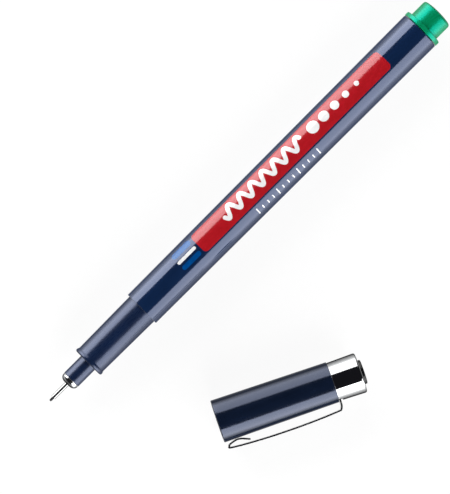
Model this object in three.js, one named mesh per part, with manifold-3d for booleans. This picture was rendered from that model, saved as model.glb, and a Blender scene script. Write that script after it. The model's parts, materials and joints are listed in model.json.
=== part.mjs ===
// Felt-tip pen, lying flat with its cap taken off beside it.
// Millimetres, +Z up. The pen lies along X with its nib towards -X, and the cap
// lies on the -Y side with its clip turned away from the pen. Both rest on Z = 0.
// Inside each group a piece is turned about the group's Y axis: the pen's Y runs
// from nib to end plug, and the cap's Y runs from its mouth to its closed end.

import * as THREE from 'three';
import { mergeVertices } from 'three/addons/utils/BufferGeometryUtils.js';
import Module from 'manifold-3d';

const { lerp, degToRad } = THREE.MathUtils;

// Clearances between pieces
const PRESS_GAP = 0.05; // round a pressed-in shank, on the radius
const SEAT_GAP = 0.1; // between a shoulder and the face it seats on
const END_GAP = 0.3; // between the ends of two pieces in line
const FILM_GAP = 0.2; // round the wrapped reservoir, on the radius
const SLIDE_GAP = 0.25; // round whatever the cap slides over, on the radius
const SEAL_GAP = 0.075; // round the nose in the inner cap, on the radius
const NOTCH_GAP = 0.25; // each side of the clip in the sleeve's notch
const FOLD_GAP = 0.25; // left open where the clip's arm flexes at its fold
const EDGE = 0.15; // rounding of moulded edges

// Writing point
const NIB_DIA = 0.62;
const NIB_STICKOUT = 1.09;
const NIB_LENGTH = 14;
const NEEDLE_DIA = 1.2;
const NEEDLE_BORE_DIA = 0.72;
const NEEDLE_STICKOUT = 4.6;
const COLLAR_DIA = 4.6;
const COLLAR_LENGTH = 1.51;
const COLLAR_RIM = 0.3;
const COLLAR_FRONT_WALL = 0.15;
const COLLAR_SPIGOT_DIA = 3.2;
const COLLAR_SPIGOT_LENGTH = 3.2;
const NOSE_DIA = 4.75;
const NOSE_LENGTH = 5.64;
const NOSE_SHANK_DIA = 4.3;
const NOSE_SHANK_LENGTH = 9.5;

// Grip section
const GRIP_FRONT_DIA = 8.02;
const GRIP_REAR_DIA = 8.4;
const GRIP_LENGTH = 18.27;
const GRIP_BORE_DIA = 5.8;
const GRIP_SPIGOT_LENGTH = 8;
const BEAD_DIA = 8.45;
const BEAD_ROUND_WIDTH = 0.6;
const BEAD_ROUND_LENGTH = 0.36;
const BEAD_FLAT_LENGTH = 0.4;
const BEAD_SLOPE_LENGTH = 0.4;

// Barrel and ink supply
const BARREL_FRONT_DIA = 9.58;
const BARREL_REAR_DIA = 10.4;
const BARREL_LENGTH = 94.4;
const BARREL_BORE_DIA = 7.7;
const WICK_DIA = 1.8;
const WICK_INSERTION = 4;
const FILM_THICKNESS = 0.15;

// End plug, with the post that holds the cap while writing
const FLANGE_DIA = 10.52;
const FLANGE_LENGTH = 1.12;
const POST_DIA = 8.38;
const POST_LENGTH = 5.05;
const POST_ROUND = 0.7;
const POST_DOME = 0.15;
const POST_FACE_DIA = 5;
const END_SHANK_LENGTH = 5;
const END_WALL = 1.2;

// Cap
const CAP_MOUTH_DIA = 10.62;
const CAP_TOP_DIA = 10.15;
const CAP_LENGTH = 29.1;
const CAP_CROWN = 1.65;
const LEDGE_WIDTH = 0.7;
const LEDGE_CLEARANCE = 0.45;
const INNER_CAP_TIP_WALL = 0.3;
const INNER_CAP_END_WALL = 0.7;
const NIB_ROOM = 0.97;
const NEEDLE_ROOM = 1.1;
const NECK_WALL = 0.8;
const SLEEVE_WALL = 0.69;
const SLEEVE_FLARE = 0.14;
const SLEEVE_END_WALL = 0.6;
const SLEEVE_ROUND = 0.35;
const CAP_PLUG_SHANK_LENGTH = 2.5;
const CAP_PLUG_RIM = 0.25;
const CAP_PLUG_PROUD = 0.75;
const CAP_PLUG_ROUND = 0.25;

// Clip, one strip of spring steel with a ring at its root
const CLIP_WIDTH = 3.2;
const CLIP_THICKNESS = 0.44;
const CLIP_RING_LENGTH = 2.5;
const CLIP_TONGUE_REACH = 0.45;
const CLIP_ROOT_RISE = 2.07;
const CLIP_ROOT_BEND = 0.9;
const CLIP_BOW_RISE = 2.49;
const CLIP_TIP_RISE = 1.79;
const CLIP_TIP_BEND = 0.33;
const CLIP_TIP_INSET = 0.6;
const CLIP_FOOT_STATION = 3.15;
const CLIP_TAIL_STATION = 5.8;
const CLIP_TAIL_RISE = 1.22;
const CLIP_STEPS = 66; // straight pieces that its bends are divided into
const NOTCH_LENGTH = 1.05;

// Where the loose cap lies: its mouth from the nib's tip, and its turn from the pen
const CAP_MOUTH_X = 24.79;
const CAP_MOUTH_Y = -31.88;
const CAP_TURN_DEG = -26.14;

// Facets round a turned piece
const BODY_SIDES = 48;
const INNER_SIDES = 32;
const FINE_SIDES = 20;

// A parabola has risen this share of its height halfway to its crown
const HALFWAY_RISE = 0.75;

// Radii that follow from the fits
const needleRadius = NEEDLE_DIA / 2;
const collarSpigotRadius = COLLAR_SPIGOT_DIA / 2;
const noseRadius = NOSE_DIA / 2;
const noseShankRadius = NOSE_SHANK_DIA / 2;
const wickRadius = WICK_DIA / 2;
const wickPassageRadius = wickRadius + PRESS_GAP;
const gripRearRadius = GRIP_REAR_DIA / 2;
const barrelBoreRadius = BARREL_BORE_DIA / 2;
const spigotRadius = barrelBoreRadius - PRESS_GAP;
const filmOuterRadius = barrelBoreRadius - FILM_GAP;
const filmInnerRadius = filmOuterRadius - FILM_THICKNESS;
const reservoirRadius = filmInnerRadius - PRESS_GAP;
const postRadius = POST_DIA / 2;
const capBoreRadius = Math.max(BEAD_DIA, GRIP_REAR_DIA, POST_DIA) / 2 + SLIDE_GAP;
const sealBoreRadius = noseRadius + SEAL_GAP;
const innerCapRadius = capBoreRadius - LEDGE_WIDTH - PRESS_GAP;
const innerCapTipRadius = sealBoreRadius + INNER_CAP_TIP_WALL;
const neckBoreRadius = innerCapTipRadius + PRESS_GAP;
const neckRadius = neckBoreRadius + NECK_WALL;
const ringInnerRadius = neckRadius + PRESS_GAP;
const ringOuterRadius = ringInnerRadius + CLIP_THICKNESS;
const sleeveInnerRadius = ringOuterRadius + PRESS_GAP;
const sleeveBaseRadius = sleeveInnerRadius + SLEEVE_WALL;
const sleeveEndRadius = sleeveBaseRadius + SLEEVE_FLARE;
const capPlugShankRadius = neckBoreRadius - PRESS_GAP;
const capPlugRadius = capPlugShankRadius + CAP_PLUG_RIM;

// Stations along the pen, from the nib's tip
const needleStart = NIB_STICKOUT;
const collarStart = needleStart + NEEDLE_STICKOUT;
const noseStart = collarStart + COLLAR_LENGTH;
const gripStart = noseStart + NOSE_LENGTH;
const barrelStart = gripStart + GRIP_LENGTH;
const barrelEnd = barrelStart + BARREL_LENGTH;
const flangeStart = barrelEnd + SEAT_GAP;
const wickStart = NIB_LENGTH + END_GAP;
const reservoirStart = barrelStart + GRIP_SPIGOT_LENGTH + END_GAP;
const reservoirEnd = flangeStart - END_SHANK_LENGTH - END_GAP;

// Stations along the cap, from its mouth. With the cap on, the mouth seats on the
// barrel's front face, so the grip and the nose reach this far into it.
const ledgeStart = GRIP_LENGTH + LEDGE_CLEARANCE;
const crownStart = CAP_LENGTH - CAP_CROWN;
const innerCapStart = ledgeStart + SEAT_GAP;
const innerCapEnd = GRIP_LENGTH + gripStart + NIB_ROOM + INNER_CAP_END_WALL;
const capPlugSeat = innerCapEnd + END_GAP + CAP_PLUG_SHANK_LENGTH;
const neckEnd = capPlugSeat - SEAT_GAP;
const sleeveStart = CAP_LENGTH + SEAT_GAP;
const sleeveEnd = neckEnd + END_GAP + SLEEVE_END_WALL;
const ringStart = sleeveStart + SEAT_GAP;

// Radius of the cap's outside at a station
function capRadiusAt(station) {
  return lerp(CAP_MOUTH_DIA / 2, CAP_TOP_DIA / 2, station / CAP_LENGTH);
}

// Points on an arc in the profile plane, as [radius, station]. Zero degrees points
// away from the axis and 90 degrees points along it.
function arc(centreRadius, centreStation, width, length, fromDeg, toDeg, steps) {
  return Array.from({ length: steps + 1 }, (_, i) => {
    const angle = degToRad(lerp(fromDeg, toDeg, i / steps));
    return [centreRadius + width * Math.cos(angle), centreStation + length * Math.sin(angle)];
  });
}

// Rounded outer edge where a front face meets the outside
function frontEdge(radius, station, round = EDGE, steps = 2) {
  return arc(radius - round, station + round, round, round, -90, 0, steps);
}

// Rounded outer edge where the outside meets a rear face
function rearEdge(radius, station, round = EDGE, steps = 2) {
  return arc(radius - round, station - round, round, round, 0, 90, steps);
}

// A turned solid. Its profile runs up the outside and down the inside.
function turned(profile, sides) {
  return new THREE.LatheGeometry(profile.map(([r, s]) => new THREE.Vector2(r, s)), sides);
}

// A turned solid with a hole right through it: the profile closes on itself
function turnedTube(profile, sides) {
  return turned([...profile, profile[0]], sides);
}

const wasm = await Module();
wasm.setup();

// Closed mesh as a solid that can be joined and cut
function solidOf(geometry) {
  const bare = geometry.clone();
  bare.deleteAttribute('normal');
  bare.deleteAttribute('uv');
  const merged = mergeVertices(bare);
  return new wasm.Manifold(new wasm.Mesh({
    numProp: 3,
    vertProperties: merged.getAttribute('position').array,
    triVerts: new Uint32Array(merged.getIndex().array),
  }));
}

function geometryOf(solid) {
  const mesh = solid.getMesh();
  const geometry = new THREE.BufferGeometry();
  geometry.setAttribute('position', new THREE.BufferAttribute(mesh.vertProperties, 3));
  geometry.setIndex(new THREE.BufferAttribute(mesh.triVerts, 1));
  return geometry;
}

// A box with its near face at x, its low face at y, and centred on z = 0
function block(x, y, width, length, depth) {
  const box = new THREE.BoxGeometry(width, length, depth);
  return box.translate(x + width / 2, y + length / 2, 0);
}

// A flat strip of even thickness along a plane curve, as wide as depth along Z
function strip(curve, thickness, depth, steps) {
  const left = [];
  const right = [];
  for (let i = 0; i <= steps; i += 1) {
    const point = curve.getPoint(i / steps);
    const along = curve.getTangent(i / steps);
    const across = new THREE.Vector2(-along.y, along.x).multiplyScalar(thickness / 2);
    left.push(point.clone().add(across));
    right.unshift(point.clone().sub(across));
  }
  const outline = new THREE.Shape([...left, ...right]);
  const geometry = new THREE.ExtrudeGeometry(outline, { depth, bevelEnabled: false });
  return geometry.translate(0, 0, -depth / 2);
}

// Fibre nib: a rod with a rounded writing end
function makeNib() {
  const radius = NIB_DIA / 2;
  return turned([
    ...arc(0, radius, radius, radius, -90, 0, 4),
    [radius, NIB_LENGTH],
    [0, NIB_LENGTH],
  ], FINE_SIDES);
}

// Steel needle sleeve that holds the nib straight
function makeNeedleSleeve() {
  const length = NEEDLE_STICKOUT + COLLAR_LENGTH + COLLAR_SPIGOT_LENGTH;
  const bore = NEEDLE_BORE_DIA / 2;
  return turnedTube([
    [bore, 0],
    [needleRadius, 0],
    [needleRadius, length],
    [bore, length],
  ], FINE_SIDES);
}

// Domed metal collar with a spigot pressed into the nose
function makeNoseCollar() {
  const radius = COLLAR_DIA / 2;
  const bore = needleRadius + PRESS_GAP;
  const front = bore + COLLAR_FRONT_WALL;
  const domeLength = COLLAR_LENGTH - COLLAR_RIM;
  const seat = COLLAR_LENGTH - PRESS_GAP;
  return turnedTube([
    [bore, 0],
    ...arc(front, domeLength, radius - front, domeLength, -90, 0, 7),
    [radius, seat],
    [collarSpigotRadius, seat],
    [collarSpigotRadius, COLLAR_LENGTH + COLLAR_SPIGOT_LENGTH],
    [bore, COLLAR_LENGTH + COLLAR_SPIGOT_LENGTH],
  ], INNER_SIDES);
}

// Nose of the pen, with a shank pressed into the grip and a passage for the wick
function makeNibHolder() {
  const socketRadius = collarSpigotRadius + PRESS_GAP;
  const socketEnd = COLLAR_SPIGOT_LENGTH + END_GAP;
  const seat = NOSE_LENGTH - SEAT_GAP;
  const end = NOSE_LENGTH + NOSE_SHANK_LENGTH;
  return turnedTube([
    [socketRadius, 0],
    ...frontEdge(noseRadius, 0),
    [noseRadius, seat],
    [noseShankRadius, seat],
    [noseShankRadius, end],
    [wickPassageRadius, end],
    [wickPassageRadius, socketEnd],
    [socketRadius, socketEnd],
  ], INNER_SIDES);
}

// Grip with a snap bead for the cap in front and a spigot for the barrel behind
function makeGrip() {
  const beadRadius = BEAD_DIA / 2;
  const beadFlatEnd = BEAD_ROUND_LENGTH + BEAD_FLAT_LENGTH;
  const noseBoreRadius = noseShankRadius + PRESS_GAP;
  const noseBoreEnd = NOSE_SHANK_LENGTH + END_GAP;
  const boreRadius = GRIP_BORE_DIA / 2;
  const seat = GRIP_LENGTH - SEAT_GAP;
  const end = GRIP_LENGTH + GRIP_SPIGOT_LENGTH;
  return turnedTube([
    [noseBoreRadius, 0],
    ...arc(beadRadius - BEAD_ROUND_WIDTH, BEAD_ROUND_LENGTH, BEAD_ROUND_WIDTH, BEAD_ROUND_LENGTH, -90, 0, 4),
    [beadRadius, beadFlatEnd],
    [GRIP_FRONT_DIA / 2, beadFlatEnd + BEAD_SLOPE_LENGTH],
    [gripRearRadius, seat],
    [spigotRadius, seat],
    [spigotRadius, end],
    [boreRadius, end],
    [boreRadius, noseBoreEnd],
    [noseBoreRadius, noseBoreEnd],
  ], BODY_SIDES);
}

function makeWick() {
  const length = reservoirStart + WICK_INSERTION - wickStart;
  return turned([
    [0, 0],
    [wickRadius, 0],
    [wickRadius, length],
    [0, length],
  ], FINE_SIDES);
}

// Fibre core that holds the ink, with a socket in front for the wick
function makeReservoir() {
  const length = reservoirEnd - reservoirStart;
  const socketEnd = WICK_INSERTION + END_GAP;
  return turned([
    [0, socketEnd],
    [wickPassageRadius, socketEnd],
    [wickPassageRadius, 0],
    [reservoirRadius, 0],
    [reservoirRadius, length],
    [0, length],
  ], INNER_SIDES);
}

function makeReservoirFilm() {
  const length = reservoirEnd - reservoirStart;
  return turnedTube([
    [filmInnerRadius, 0],
    [filmOuterRadius, 0],
    [filmOuterRadius, length],
    [filmInnerRadius, length],
  ], INNER_SIDES);
}

// Barrel, open at both ends and a little wider towards the rear
function makeBarrel() {
  return turnedTube([
    [barrelBoreRadius, 0],
    ...frontEdge(BARREL_FRONT_DIA / 2, 0),
    ...rearEdge(BARREL_REAR_DIA / 2, BARREL_LENGTH),
    [barrelBoreRadius, BARREL_LENGTH],
  ], BODY_SIDES);
}

// End plug: a hollow shank in the barrel, a flange, and a post with a soft crown
function makeEndPlug() {
  const wall = END_WALL;
  const postEnd = FLANGE_LENGTH + POST_LENGTH;
  const crownStation = postEnd - POST_DOME;
  return turned([
    [0, postEnd - wall - POST_DOME],
    [spigotRadius - wall, postEnd - wall - POST_DOME],
    [spigotRadius - wall, -END_SHANK_LENGTH],
    [spigotRadius, -END_SHANK_LENGTH],
    [spigotRadius, 0],
    ...frontEdge(FLANGE_DIA / 2, 0),
    ...rearEdge(FLANGE_DIA / 2, FLANGE_LENGTH),
    [postRadius, FLANGE_LENGTH],
    ...rearEdge(postRadius, crownStation, POST_ROUND, 5),
    [POST_FACE_DIA / 2, postEnd],
    [0, postEnd],
  ], BODY_SIDES);
}

// Cap body: a slide bore, a bore for the inner cap, and a neck for clip and sleeve
function makeCapBody() {
  return turnedTube([
    [capBoreRadius, 0],
    ...frontEdge(CAP_MOUTH_DIA / 2, 0),
    ...rearEdge(CAP_TOP_DIA / 2, CAP_LENGTH),
    [neckRadius, CAP_LENGTH],
    [neckRadius, neckEnd],
    [neckBoreRadius, neckEnd],
    [neckBoreRadius, crownStart],
    [innerCapRadius + PRESS_GAP, crownStart],
    [innerCapRadius + PRESS_GAP, ledgeStart],
    [capBoreRadius, ledgeStart],
  ], BODY_SIDES);
}

// Inner cap: the cup that closes round the nose so that the nib can't dry
function makeInnerCap() {
  const end = innerCapEnd - innerCapStart;
  const shoulder = crownStart - SEAT_GAP - innerCapStart;
  const sealEnd = GRIP_LENGTH + NOSE_LENGTH + COLLAR_LENGTH + END_GAP - innerCapStart;
  const tipBoreRadius = needleRadius + NEEDLE_ROOM;
  const tipBoreEnd = end - INNER_CAP_END_WALL;
  return turned([
    [0, tipBoreEnd],
    [tipBoreRadius, tipBoreEnd],
    [tipBoreRadius, sealEnd + sealBoreRadius - tipBoreRadius],
    [sealBoreRadius, sealEnd],
    [sealBoreRadius, 0],
    [innerCapRadius, 0],
    [innerCapRadius, shoulder],
    [innerCapTipRadius, shoulder],
    [innerCapTipRadius, end],
    [0, end],
  ], INNER_SIDES);
}

// Chrome sleeve over the neck, notched in its lower edge where the clip comes out
function makeCapSleeve() {
  const length = sleeveEnd - sleeveStart;
  const holeRadius = capPlugRadius + PRESS_GAP;
  const shell = turnedTube([
    [sleeveInnerRadius, 0],
    [sleeveBaseRadius, 0],
    ...rearEdge(sleeveEndRadius, length, SLEEVE_ROUND, 4),
    [holeRadius, length],
    [holeRadius, length - SLEEVE_END_WALL],
    [sleeveInnerRadius, length - SLEEVE_END_WALL],
  ], BODY_SIDES);
  const notchWidth = CLIP_WIDTH + 2 * NOTCH_GAP;
  const notch = block(neckRadius, -SEAT_GAP, sleeveEndRadius, SEAT_GAP + NOTCH_LENGTH, notchWidth);
  return geometryOf(solidOf(shell).subtract(solidOf(notch)));
}

// Ring of the clip, with the tongue that passes out through the notch
function makeClipRing() {
  const ring = turnedTube([
    [ringInnerRadius, 0],
    [ringOuterRadius, 0],
    [ringOuterRadius, CLIP_RING_LENGTH],
    [ringInnerRadius, CLIP_RING_LENGTH],
  ], BODY_SIDES);
  const tongueRoot = ringInnerRadius + CLIP_THICKNESS / 4;
  const tongueReach = sleeveBaseRadius + CLIP_TONGUE_REACH - tongueRoot;
  const tongue = block(tongueRoot, 0, tongueReach, CLIP_THICKNESS, CLIP_WIDTH);
  return geometryOf(solidOf(ring).add(solidOf(tongue)));
}

// Clip arm: out from the tongue, along the cap in a shallow bow, round a tight
// bend at the mouth, down to a foot that touches the cap, and up again in a tail.
function makeClip() {
  const half = CLIP_THICKNESS / 2;
  const rootStation = ringStart + half;
  const rootRadius = sleeveBaseRadius + CLIP_TONGUE_REACH + FOLD_GAP;
  const armStart = capRadiusAt(CAP_LENGTH) + CLIP_ROOT_RISE;
  const bowStation = CAP_LENGTH / 2;
  const bowRadius = capRadiusAt(bowStation) + CLIP_BOW_RISE;
  const tipRadius = capRadiusAt(0) + CLIP_TIP_RISE;
  const tipStation = CLIP_TIP_INSET + half;
  const hookRadius = tipRadius - 2 * CLIP_TIP_BEND;
  const footRadius = capRadiusAt(CLIP_FOOT_STATION) + SEAT_GAP + half;
  const tailRadius = capRadiusAt(CLIP_TAIL_STATION) + CLIP_TAIL_RISE;
  const curve = new THREE.SplineCurve([
    [rootRadius, rootStation],
    [armStart - CLIP_ROOT_BEND, rootStation],
    [armStart - CLIP_ROOT_BEND / 4, rootStation - CLIP_ROOT_BEND / 4],
    [armStart, rootStation - CLIP_ROOT_BEND],
    [lerp(armStart, bowRadius, HALFWAY_RISE), (rootStation + bowStation) / 2],
    [bowRadius, bowStation],
    [lerp(tipRadius, bowRadius, HALFWAY_RISE), (tipStation + bowStation) / 2],
    [tipRadius, tipStation + CLIP_TIP_BEND],
    [tipRadius - CLIP_TIP_BEND, tipStation],
    [hookRadius, tipStation + CLIP_TIP_BEND],
    [footRadius, CLIP_FOOT_STATION],
    [tailRadius, CLIP_TAIL_STATION],
  ].map(([r, s]) => new THREE.Vector2(r, s)));
  return strip(curve, CLIP_THICKNESS, CLIP_WIDTH, CLIP_STEPS);
}

// Black plug in the closed end of the cap
function makeCapPlug() {
  const top = sleeveEnd + CAP_PLUG_PROUD - capPlugSeat;
  return turned([
    [0, -CAP_PLUG_SHANK_LENGTH],
    [capPlugShankRadius, -CAP_PLUG_SHANK_LENGTH],
    [capPlugShankRadius, 0],
    [capPlugRadius, 0],
    ...rearEdge(capPlugRadius, top, CAP_PLUG_ROUND, 4),
    [0, top],
  ], INNER_SIDES);
}

const NAVY = { color: 0x16264c, roughness: 0.28, metalness: 0 };
const STEEL = { color: 0xb9bdc0, roughness: 0.2, metalness: 1 };
const CHROME = { color: 0xd2d5d6, roughness: 0.08, metalness: 1 };
const GREEN = { color: 0x009c73, roughness: 0.32, metalness: 0 };
const BLACK = { color: 0x151618, roughness: 0.35, metalness: 0 };
const INK_FIBRE = { color: 0x1c5c48, roughness: 0.95, metalness: 0 };
const NIB_FIBRE = { color: 0x33363a, roughness: 0.9, metalness: 0 };
const CLEAR_FILM = { color: 0xd8dde0, roughness: 0.2, metalness: 0 };
const WHITE_SEAL = { color: 0xd9dad6, roughness: 0.5, metalness: 0 };

// One named piece at its station along its group's axis
function piece(name, geometry, station, finish) {
  const mesh = new THREE.Mesh(geometry, new THREE.MeshStandardMaterial(finish));
  mesh.name = name;
  mesh.position.y = station;
  return mesh;
}

const pen = new THREE.Group();
pen.add(
  piece('fibre_nib', makeNib(), 0, NIB_FIBRE),
  piece('needle_sleeve', makeNeedleSleeve(), needleStart, STEEL),
  piece('nose_collar', makeNoseCollar(), collarStart, STEEL),
  piece('nib_holder', makeNibHolder(), noseStart, NAVY),
  piece('grip_section', makeGrip(), gripStart, NAVY),
  piece('feed_wick', makeWick(), wickStart, INK_FIBRE),
  piece('ink_reservoir', makeReservoir(), reservoirStart, INK_FIBRE),
  piece('reservoir_film', makeReservoirFilm(), reservoirStart, CLEAR_FILM),
  piece('barrel', makeBarrel(), barrelStart, NAVY),
  piece('end_plug', makeEndPlug(), flangeStart, GREEN),
);
pen.rotation.z = -Math.PI / 2;
pen.position.z = Math.max(FLANGE_DIA, BARREL_REAR_DIA) / 2;

const cap = new THREE.Group();
cap.add(
  piece('cap_body', makeCapBody(), 0, NAVY),
  piece('inner_cap', makeInnerCap(), innerCapStart, WHITE_SEAL),
  piece('clip_ring', makeClipRing(), ringStart, STEEL),
  piece('clip', makeClip(), 0, STEEL),
  piece('cap_sleeve', makeCapSleeve(), sleeveStart, CHROME),
  piece('cap_end_plug', makeCapPlug(), capPlugSeat, BLACK),
);
cap.rotation.z = -Math.PI / 2 + degToRad(CAP_TURN_DEG);
cap.position.set(CAP_MOUTH_X, CAP_MOUTH_Y, Math.max(CAP_MOUTH_DIA, CAP_TOP_DIA) / 2);

// The origin is the middle of the bottom of the box round both
const model = new THREE.Group();
model.add(pen, cap);
const middle = new THREE.Box3().setFromObject(model, true).getCenter(new THREE.Vector3());
model.position.set(-middle.x, -middle.y, 0);

export default model;
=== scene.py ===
"""Felt-tip pen with its cap taken off: finishes, fine surfaces, print, light and camera.

Sizes are in millimetres unless a name says otherwise, and become metres in the meshes.
Stations run along a piece's own axis: from the nib's tip on the pen, from the mouth on the cap.
"""

import json
import math

import bpy
import numpy as np
from mathutils import Matrix, Vector

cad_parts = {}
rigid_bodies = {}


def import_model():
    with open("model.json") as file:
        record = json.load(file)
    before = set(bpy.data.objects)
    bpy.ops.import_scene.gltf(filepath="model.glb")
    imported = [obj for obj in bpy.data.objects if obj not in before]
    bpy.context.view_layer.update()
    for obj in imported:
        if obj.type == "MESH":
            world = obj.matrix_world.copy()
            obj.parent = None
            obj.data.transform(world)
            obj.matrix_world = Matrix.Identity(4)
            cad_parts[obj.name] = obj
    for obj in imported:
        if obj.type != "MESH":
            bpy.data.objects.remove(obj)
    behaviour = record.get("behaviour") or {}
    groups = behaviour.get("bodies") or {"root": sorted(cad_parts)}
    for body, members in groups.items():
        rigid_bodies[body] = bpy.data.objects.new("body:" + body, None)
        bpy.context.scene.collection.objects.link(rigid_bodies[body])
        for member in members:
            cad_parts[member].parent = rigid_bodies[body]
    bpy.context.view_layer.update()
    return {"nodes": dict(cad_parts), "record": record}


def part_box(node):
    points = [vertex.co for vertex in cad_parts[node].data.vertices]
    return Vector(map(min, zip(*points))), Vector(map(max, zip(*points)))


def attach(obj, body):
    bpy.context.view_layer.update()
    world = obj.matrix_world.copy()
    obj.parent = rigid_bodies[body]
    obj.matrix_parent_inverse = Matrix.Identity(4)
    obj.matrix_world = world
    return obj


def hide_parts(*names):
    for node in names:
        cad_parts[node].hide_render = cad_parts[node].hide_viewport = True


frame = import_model()

MM = 0.001

# Radii, edges and seams of the turned pieces
NIB_R = 0.31
NEEDLE_R, NEEDLE_BORE_R = 0.6, 0.36
COLLAR_R, COLLAR_FRONT_R, COLLAR_CONE_R, COLLAR_RIM = 2.3, 0.8, 1.95, 0.3
NOSE_R = 2.375
GRIP_FRONT_R, GRIP_REAR_R = 4.01, 4.2
BEAD_R, BEAD_ROUND_W, BEAD_ROUND_L, BEAD_FLAT, BEAD_SLOPE = 4.225, 0.6, 0.36, 0.4, 0.4
BARREL_FRONT_R, BARREL_REAR_R, BARREL_BORE_R = 4.79, 5.2, 3.85
FLANGE_R, FLANGE_LENGTH = 5.26, 1.12
POST_R, POST_ROUND, POST_DOME, POST_FACE_R = 4.19, 0.7, 0.15, 2.5
CAP_MOUTH_R, CAP_TOP_R, CAP_BORE_R = 5.31, 5.075, 4.475
LEDGE_STATION, LEDGE_BORE_R = 18.72, 3.775
INNER_CAP_R, SEAL_BORE_R = 3.725, 2.45
SLEEVE_BASE_R, SLEEVE_END_R, SLEEVE_INNER_R = 4.83, 4.97, 4.14
SLEEVE_ROUND_W, SLEEVE_ROUND_L, SLEEVE_DOME = 0.35, 0.5, 0.03
SLEEVE_HOLE_R, SLEEVE_END_WALL = 3.05, 0.6
CAP_PLUG_R, CAP_PLUG_ROUND = 3.0, 0.25
EDGE, CRISP_EDGE = 0.15, 0.06
PLUG_GROOVE, SEAT_CLEARANCE, FIT_GAP = 0.18, 0.1, 0.05

# Clip strip
CLIP_WIDTH, CLIP_THICKNESS = 3.2, 0.44
CLIP_ROOT_RISE, CLIP_ROOT_BEND, CLIP_ROOT_LEAN = 1.97, 0.9, 0.25
CLIP_BOW_RISE, CLIP_TIP_RISE, CLIP_TIP_BEND = 2.34, 1.64, 0.47
CLIP_TIP_INSET, CLIP_FOOT_STATION = 0.6, 3.5
CLIP_TAIL_STATION, CLIP_TAIL_RISE = 6.2, 1.22
CLIP_SEAT_GAP, CLIP_EDGE = 0.03, 0.02
CLIP_RINGS, CLIP_TAIL_RINGS, CLIP_TAIL_NARROWING = 260, 8, 0.8
NOTCH_LENGTH, NOTCH_SIDE_GAP, NOTCH_REST = 1.05, 0.25, 0.12

# Print on the barrel: stations along the pen and angles from the top, towards the cap
BAND_START, BAND_END = 51.3, 114.4
BAND_TOP_DEG, BAND_LOW_DEG = -53.0, 16.0
BAND_CORNER = 1.1
INK_LIFT, INK_SINK = 0.012, 0.03

# Motifs. Shares are of the band's half width, and each rule has its share, its half width and its ink
MOTIF_LIFT, MOTIF_SHARE = 0.022, -0.1
FULL_ROUND = 0.98
RULE_REACH, RULE_GAP = 6.6, 0.7
RULES = ((-0.68, 0.9, "blue_ink"), (0.05, 0.42, "white_ink"), (0.62, 0.6, "blue_ink"))
WAVE_INSET, WAVE_LENGTH, WAVES, WAVE_SWING = 9.0, 26.5, 7, 1.45
WAVE_HALF_W, WAVE_END_R = 0.52, 0.51
DOTS, DOT_GAP, DOT_PITCH, DOT_R, DOT_SHRINK = 5, 3.9, 3.7, 1.6, 0.24
TICKS, TICK_GROUP, TICK_INSET, TICK_PITCH, TICK_GAP = 13, 4, 16.0, 1.7, 2.1
TICK_HALF_W, TICK_CORNER, TICK_LONG_HALF, TICK_SHORT_HALF = 0.15, 0.14, 1.0, 0.55

SIDES = 256
FINE_SIDES = 96


class Axis:
    """An axis that pieces are turned about: a place, the direction along it, and zero degrees."""

    def __init__(self, origin, along, zero):
        self.origin = np.array(origin, float)
        self.along = np.array(along, float)
        self.zero = np.array(zero, float)
        self.quarter = np.cross(self.along, self.zero)

    def place(self, across, quarter, station):
        """Points in metres from their millimetres along zero degrees, ninety degrees and the axis."""
        local = np.stack(np.broadcast_arrays(across, quarter, station), axis=-1)
        turn = np.stack([self.zero, self.quarter, self.along])
        return self.origin + MM * (local @ turn)

    def span(self, node):
        """Lowest and highest station of a CAD node, in millimetres."""
        corners = np.array([v.co for v in frame["nodes"][node].data.vertices], float)
        stations = (corners - self.origin) @ self.along / MM
        return stations.min(), stations.max()


def mount(name):
    """Place and direction of one of the record's mounts."""
    found = next(m for m in frame["record"]["mounts"] if m["name"] == name)
    return np.array(found["pos_m"], float), np.array(found["axis"], float)


def make_axes():
    """The pen's axis from the nib's tip, and the cap's axis from the middle of its mouth."""
    low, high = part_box("barrel")
    tip = (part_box("fibre_nib")[0].x, (low.y + high.y) / 2, (low.z + high.z) / 2)
    pen = Axis(tip, (1, 0, 0), (0, 0, 1))
    rim, outward = mount("cap_mouth_rim")
    along = -outward / np.linalg.norm(outward)
    low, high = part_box("cap_body")
    mouth = (rim[0], rim[1], (low.z + high.z) / 2)
    clip_side = np.cross(along, (0, 0, 1))
    return pen, Axis(mouth, along, clip_side)


PEN, CAP = make_axes()


def finish_mesh(name, points, own, faces, sharp_deg=34):
    """Object from points in metres. own holds each point's millimetres in its axis's own directions."""
    mesh = bpy.data.meshes.new(name)
    mesh.from_pydata(points.reshape(-1, 3).tolist(), [], faces)
    attribute = mesh.attributes.new("own_mm", "FLOAT_VECTOR", "POINT")
    attribute.data.foreach_set("vector", own.reshape(-1).astype(np.float32))
    mesh.polygons.foreach_set("use_smooth", np.ones(len(mesh.polygons), bool))
    mesh.update()
    mesh.set_sharp_from_angle(angle=math.radians(sharp_deg))
    piece = bpy.data.objects.new(name, mesh)
    bpy.context.scene.collection.objects.link(piece)
    return piece


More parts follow.
